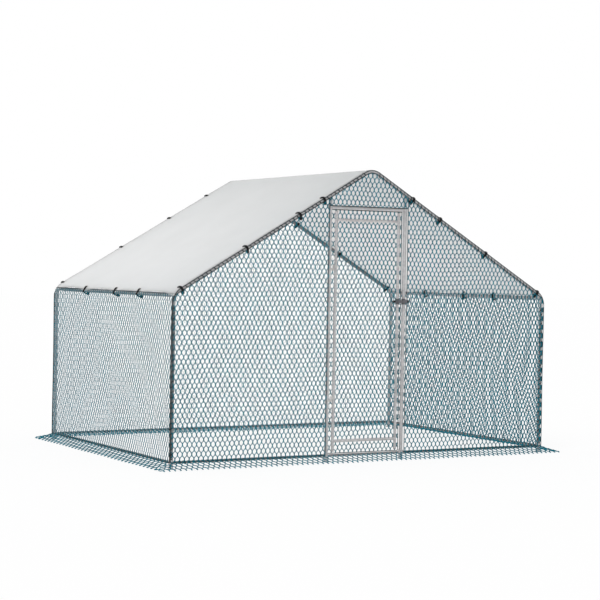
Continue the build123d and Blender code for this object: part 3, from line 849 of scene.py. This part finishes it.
def section_point(distance):
    """Point and outward normal of the roof section at a signed distance from the ridge, in x and z.

    The section runs round the ridge arc, down the straight slope and round the eave arc, so the turn of
    the normal is the sum of the two arcs' angles."""
    side = np.where(distance < 0, -1.0, 1.0)
    away = np.abs(distance)
    over_ridge = np.minimum(away / arc_radius, PITCH)
    down_slope = np.clip(away - ridge_arc, 0.0, straight)
    over_eave = np.maximum(away - ridge_arc - straight, 0.0) / arc_radius
    eave_x = np.sin(PITCH + over_eave) - sin(PITCH)
    eave_z = np.cos(PITCH + over_eave) - cos(PITCH)
    x = arc_radius * (np.sin(over_ridge) + eave_x) + down_slope * cos(PITCH)
    z = ridge_centre[1] + arc_radius * (np.cos(over_ridge) + eave_z) - down_slope * sin(PITCH)
    turn = over_ridge + over_eave
    return side * x, z, side * np.sin(turn), np.cos(turn)


def slope_distance(from_corner):
    """Distance along the section from the ridge to a place on the slope, given its x from the eave corner."""
    return ridge_arc + slope_length - RIDGE_CUT - from_corner / cos(PITCH)


front_tie_lines = [-slope_distance(x) for x in LEFT_RAFTER_TIES]
front_tie_lines += [slope_distance(x) for x in RIGHT_RAFTER_TIES]
rear_tie_lines = [-slope_distance(x) for x in REAR_RAFTER_TIES]
rear_tie_lines += [slope_distance(x) for x in REAR_RAFTER_TIES]
eave_tie_lines = [-HALF_DEPTH + y for y in EAVE_TIES]


def scallop(place, ties, reach):
    """Depth of the hem's scallops: a parabola from 0 at each tie to 1 half way, less over short spans."""
    stops = np.concatenate([[-reach], np.sort(ties), [reach]])
    index = np.clip(np.searchsorted(stops, place, side="right") - 1, 0, len(stops) - 2)
    span = stops[index + 1] - stops[index]
    share = np.clip((place - stops[index]) / span, 0.0, 1.0)
    return 4 * share * (1 - share) * np.minimum(span / SCALLOP_SPAN, 1.0)


def cover_points(flat_s, flat_y, lift):
    """Points of the cover at flat places: distance from the ridge and distance along it.

    The hems draw in between the ties, and the sheet sinks between the rafters by a product of sines."""
    eave_draw = EAVE_SCALLOP * scallop(flat_y, eave_tie_lines, HALF_DEPTH)
    front_draw = scallop(flat_s, front_tie_lines, half_section)
    rear_draw = scallop(flat_s, rear_tie_lines, half_section)
    end_draw = RAFTER_SCALLOP * np.where(flat_y < 0, front_draw, rear_draw)
    s = flat_s * (half_section - eave_draw) / half_section
    y = flat_y * (half_length - end_draw) / half_length
    x, z, nx, nz = section_point(s)
    down = np.sin(pi * np.abs(s) / half_section)
    inner = np.clip((HALF_DEPTH - np.abs(y)) / HALF_DEPTH, 0.0, 1.0)
    sag = COVER_SAG * down**2 * np.sin(pi / 2 * np.minimum(inner * SAG_STEEPNESS, 1.0))
    pull = COVER_PULL * np.sin(flat_s * 23.0 + 1.3 * np.sin(flat_y * 7.0)) * inner * down
    rise = lift - sag + pull
    return np.stack([x + nx * rise, y, z + nz * rise], axis=-1)


def with_hem(reach, count):
    """Evenly spaced places from -reach to reach, with two more on each side for the step of the hem."""
    step = np.array([reach - HEM_WIDTH, reach - HEM_WIDTH - HEM_STEP])
    return np.sort(np.concatenate([np.linspace(-reach, reach, count), step, -step]))


def cover_sheet():
    """The stretched cover: two skins a thickness apart with a closed rim and a doubled hem on every edge."""
    lines = with_hem(half_section, COVER_ROWS), with_hem(half_length, COVER_COLUMNS)
    s, y = np.meshgrid(*lines, indexing="ij")
    to_edge = np.minimum(half_section - np.abs(s), half_length - np.abs(y))
    hem = HEM_RAISE * np.clip((HEM_WIDTH + HEM_STEP / 2 - to_edge) / HEM_STEP, 0.0, 1.0)
    half = (COVER_HIGH - COVER_LOW) / 2
    top = cover_points(s, y, half + hem)
    bottom = cover_points(s, y, -half)
    rows, columns = s.shape
    count = rows * columns
    skin = grid_faces(rows, columns)
    rim = np.concatenate(
        [
            np.arange(columns),
            np.arange(1, rows) * columns + columns - 1,
            (rows - 1) * columns + np.arange(columns - 2, -1, -1),
            np.arange(rows - 2, 0, -1) * columns,
        ]
    )
    following = np.roll(rim, -1)
    edge = np.stack([following, following + count, rim + count, rim], axis=1)
    faces = np.concatenate([skin[:, ::-1], skin + count, edge])
    points = np.concatenate([top.reshape(-1, 3), bottom.reshape(-1, 3)])
    made = surface_mesh("stretched_cover", points, faces)
    layer = made.data.uv_layers.new(name="cloth")
    flat = np.tile(np.stack([s, y], axis=-1).reshape(-1, 2), (2, 1))
    corner = np.empty(len(made.data.loops), dtype=np.int32)
    made.data.loops.foreach_get("vertex_index", corner)
    layer.data.foreach_set("uv", np.ascontiguousarray(flat[corner], dtype=np.float32).ravel())
    return made


cover = dress(cover_sheet(), sheet_cloth, "frame", "cover_sheet", "roof_cover")


def tie_frames():
    """Tube axis point, outward and upward directions, and ball place (outward, up) of every tie.

    Along the eaves the directions are turned by half the bend, so that up points through the sheet."""
    rows = []
    tie_rows = (
        (-1, -1, LEFT_RAFTER_TIES),
        (1, -1, RIGHT_RAFTER_TIES),
        (-1, 1, REAR_RAFTER_TIES),
        (1, 1, REAR_RAFTER_TIES),
    )
    for side, end, ties in tie_rows:
        for x in ties:
            axis = (side * (HALF_WIDTH - x), end * HALF_DEPTH, EAVE_HEIGHT + x * tan(PITCH))
            rows.append((axis, (0, end, 0), (side * sin(PITCH), 0, cos(PITCH)), (0, -BALL_DROP, 0)))
    lean = PITCH + EAVE_TURN / 2
    eave_ball = (BALL_DROP * sin(EAVE_TURN / 2), -BALL_DROP * cos(EAVE_TURN / 2), 0)
    for side in (-1, 1):
        up = (side * sin(lean), 0, cos(lean))
        outward = (side * cos(lean), 0, -sin(lean))
        for y in eave_tie_lines:
            axis = (side * bend_inset + BEND_RADIUS * up[0], y, bend_height + BEND_RADIUS * up[2])
            rows.append((axis, outward, up, eave_ball))
    return np.moveaxis(np.array(rows, dtype=float), 1, 0)


tie_axis, tie_out, tie_up, tie_ball = tie_frames()
tie_along = np.cross(tie_out, tie_up)


def tie_cords():
    """Two round strands per tie, side by side: a circle carried round a loop in the plane across the tube.

    The loop is a squared-off ellipse, drawn together under the tube towards the ball."""
    count, sides = 64, 8
    turn = np.arange(count) * 2 * pi / count
    squared_cos = np.sign(np.cos(turn)) * np.abs(np.cos(turn)) ** (2 / LOOP_SQUARE)
    squared_sin = np.sign(np.sin(turn)) * np.abs(np.sin(turn)) ** (2 / LOOP_SQUARE)
    bottom = tie_ball[:, 1:2]
    up = (LOOP_TOP + bottom) / 2 + (LOOP_TOP - bottom) / 2 * squared_sin
    out = (LOOP_OUTSIDE + LOOP_INSIDE) / 2 + (LOOP_OUTSIDE - LOOP_INSIDE) / 2 * squared_cos
    neck = np.clip((-up - NECK_START) / (-bottom - NECK_START), 0.0, 1.0)
    path = np.stack([out * (1 - (1 - LOOP_NECK) * neck) + tie_ball[:, :1] * neck, up], axis=-1)
    ahead = np.roll(path, -1, axis=1) - np.roll(path, 1, axis=1)
    ahead /= np.linalg.norm(ahead, axis=2, keepdims=True)
    beside = np.stack([ahead[..., 1], -ahead[..., 0]], axis=-1)
    angle = np.arange(sides) * 2 * pi / sides
    ring = path[:, :, None, :] + STRAND_RADIUS * np.cos(angle)[:, None] * beside[:, :, None, :]
    shift = np.array([-STRAND_SIDE, STRAND_SIDE])[:, None, None] + STRAND_RADIUS * np.sin(angle)
    points = (
        tie_axis[:, None, None, None, :]
        + ring[:, None, :, :, :1] * tie_out[:, None, None, None, :]
        + ring[:, None, :, :, 1:] * tie_up[:, None, None, None, :]
        + shift[None, :, :, :, None] * tie_along[:, None, None, None, :]
    )
    faces = repeat_faces(grid_faces(count, sides, True, True), 2 * len(tie_axis), count * sides)
    return surface_mesh("elastic_tie_cords", points.reshape(-1, 3), faces)


def tie_beads():
    """Balls on the cords: a half circle turned about the line out of the tube, with a flat top."""
    rows, columns = 22, 28
    polar = np.linspace(0.0, pi, rows)
    radius = np.maximum(BALL_RADIUS * np.sin(polar), BALL_POLE)
    height = np.minimum(BALL_RADIUS * np.cos(polar), BALL_RADIUS * BALL_FLAT)
    turn = np.arange(columns) * 2 * pi / columns
    centre = tie_axis + tie_ball[:, :1] * tie_out + tie_ball[:, 1:2] * tie_up
    points = (
        centre[:, None, None, :]
        + (radius[:, None] * np.cos(turn))[None, :, :, None] * tie_out[:, None, None, :]
        + (radius[:, None] * np.sin(turn))[None, :, :, None] * tie_along[:, None, None, :]
        + height[None, :, None, None] * tie_up[:, None, None, :]
    )
    faces = repeat_faces(grid_faces(rows, columns, close_columns=True), len(centre), rows * columns)
    return surface_mesh("elastic_tie_balls", points.reshape(-1, 3), faces)


def eyelet_rings():
    """Pressed eyelets: flat rings, an ellipse carried round a circle that lies on the sheet."""
    eave_s = [eave_line - EYELET_INSET] * len(eave_tie_lines)
    tie_s = np.array([*front_tie_lines, *rear_tie_lines, *eave_s, *np.negative(eave_s)])
    end_y = np.full(len(front_tie_lines), HALF_DEPTH - EYELET_INSET)
    tie_y = np.array([*-end_y, *end_y, *eave_tie_lines, *eave_tie_lines])
    lift = (COVER_HIGH - COVER_LOW) / 2 + HEM_RAISE
    step = 0.002
    centre = cover_points(tie_s, tie_y, lift)
    across = cover_points(tie_s + step, tie_y, lift) - cover_points(tie_s - step, tie_y, lift)
    across /= np.linalg.norm(across, axis=1, keepdims=True)
    along = np.broadcast_to([0.0, 1.0, 0.0], across.shape)
    normal = np.cross(across, along)
    normal *= np.where(normal[:, 2:] < 0, -1.0, 1.0)
    rows, columns = 28, 10
    turn = np.arange(rows) * 2 * pi / rows
    angle = np.arange(columns) * 2 * pi / columns
    radius = EYELET_MIDDLE + EYELET_WIDE * np.cos(angle)
    points = (
        centre[:, None, None, :]
        + (np.cos(turn)[:, None] * radius)[None, :, :, None] * across[:, None, None, :]
        + (np.sin(turn)[:, None] * radius)[None, :, :, None] * along[:, None, None, :]
        + (EYELET_TALL * np.sin(angle))[None, None, :, None] * normal[:, None, None, :]
    )
    faces = repeat_faces(grid_faces(rows, columns, True, True), len(centre), rows * columns)
    return surface_mesh("pressed_eyelets", points.reshape(-1, 3), faces)


dress(tie_cords(), black_elastic, "frame", "elastic_cord", "tie_loops")
dress(tie_beads(), black_plastic, "frame", "black_plastic", "tie_balls")
dress(eyelet_rings(), eyelet_metal, "frame", "eyelet_metal", "cover_eyelets")

# Studio: floor, world, sun and camera
bpy.ops.mesh.primitive_plane_add(size=FLOOR_SIZE, location=(0, 0, -FLOOR_DROP))
floor = bpy.context.object
floor.name = "studio_floor"
floor.data.materials.append(white_floor())

world = bpy.data.worlds.new("studio_world")
bpy.context.scene.world = world
world.use_nodes = True
sky = world.node_tree
sky.nodes.clear()
strength = put(sky, "ShaderNodeMapRange", {"Value": seen_directly(sky), "To Min": SKY_LIGHT, "To Max": 1.0})
sky_light = put(
    sky,
    "ShaderNodeBackground",
    {"Color": (1, 1, 1, 1), "Strength": strength.outputs["Result"]},
)
put(sky, "ShaderNodeOutputWorld", {"Surface": sky_light.outputs["Background"]})

sun_data = bpy.data.lights.new("studio_sun", "SUN")
sun_data.energy = SUN_STRENGTH
sun_data.angle = radians(SUN_SPREAD)
sun = bpy.data.objects.new("studio_sun", sun_data)
sun.rotation_euler = (radians(SUN_TILT), 0, radians(SUN_TURN))
bpy.context.collection.objects.link(sun)

yaw, pitch, roll = (radians(a) for a in (CAMERA_YAW, CAMERA_PITCH, CAMERA_ROLL))
forward = Vector((sin(yaw) * cos(pitch), cos(yaw) * cos(pitch), sin(pitch)))
level = Vector((cos(yaw), -sin(yaw), 0))
upright = level.cross(forward)
right = level * cos(roll) + upright * sin(roll)
top = upright * cos(roll) - level * sin(roll)
camera_data = bpy.data.cameras.new("photo_camera")
camera_data.sensor_fit = "HORIZONTAL"
camera_data.sensor_width = SENSOR_MM
camera_data.lens = FOCAL_PIXELS / PHOTO_PIXELS * SENSOR_MM
camera_data.clip_end = 300.0
camera = bpy.data.objects.new("photo_camera", camera_data)
camera.matrix_world = Matrix.Translation(CAMERA_PLACE) @ Matrix((right, top, -forward)).transposed().to_4x4()
bpy.context.collection.objects.link(camera)
bpy.context.scene.camera = camera
bpy.context.scene.view_settings.view_transform = "Standard"
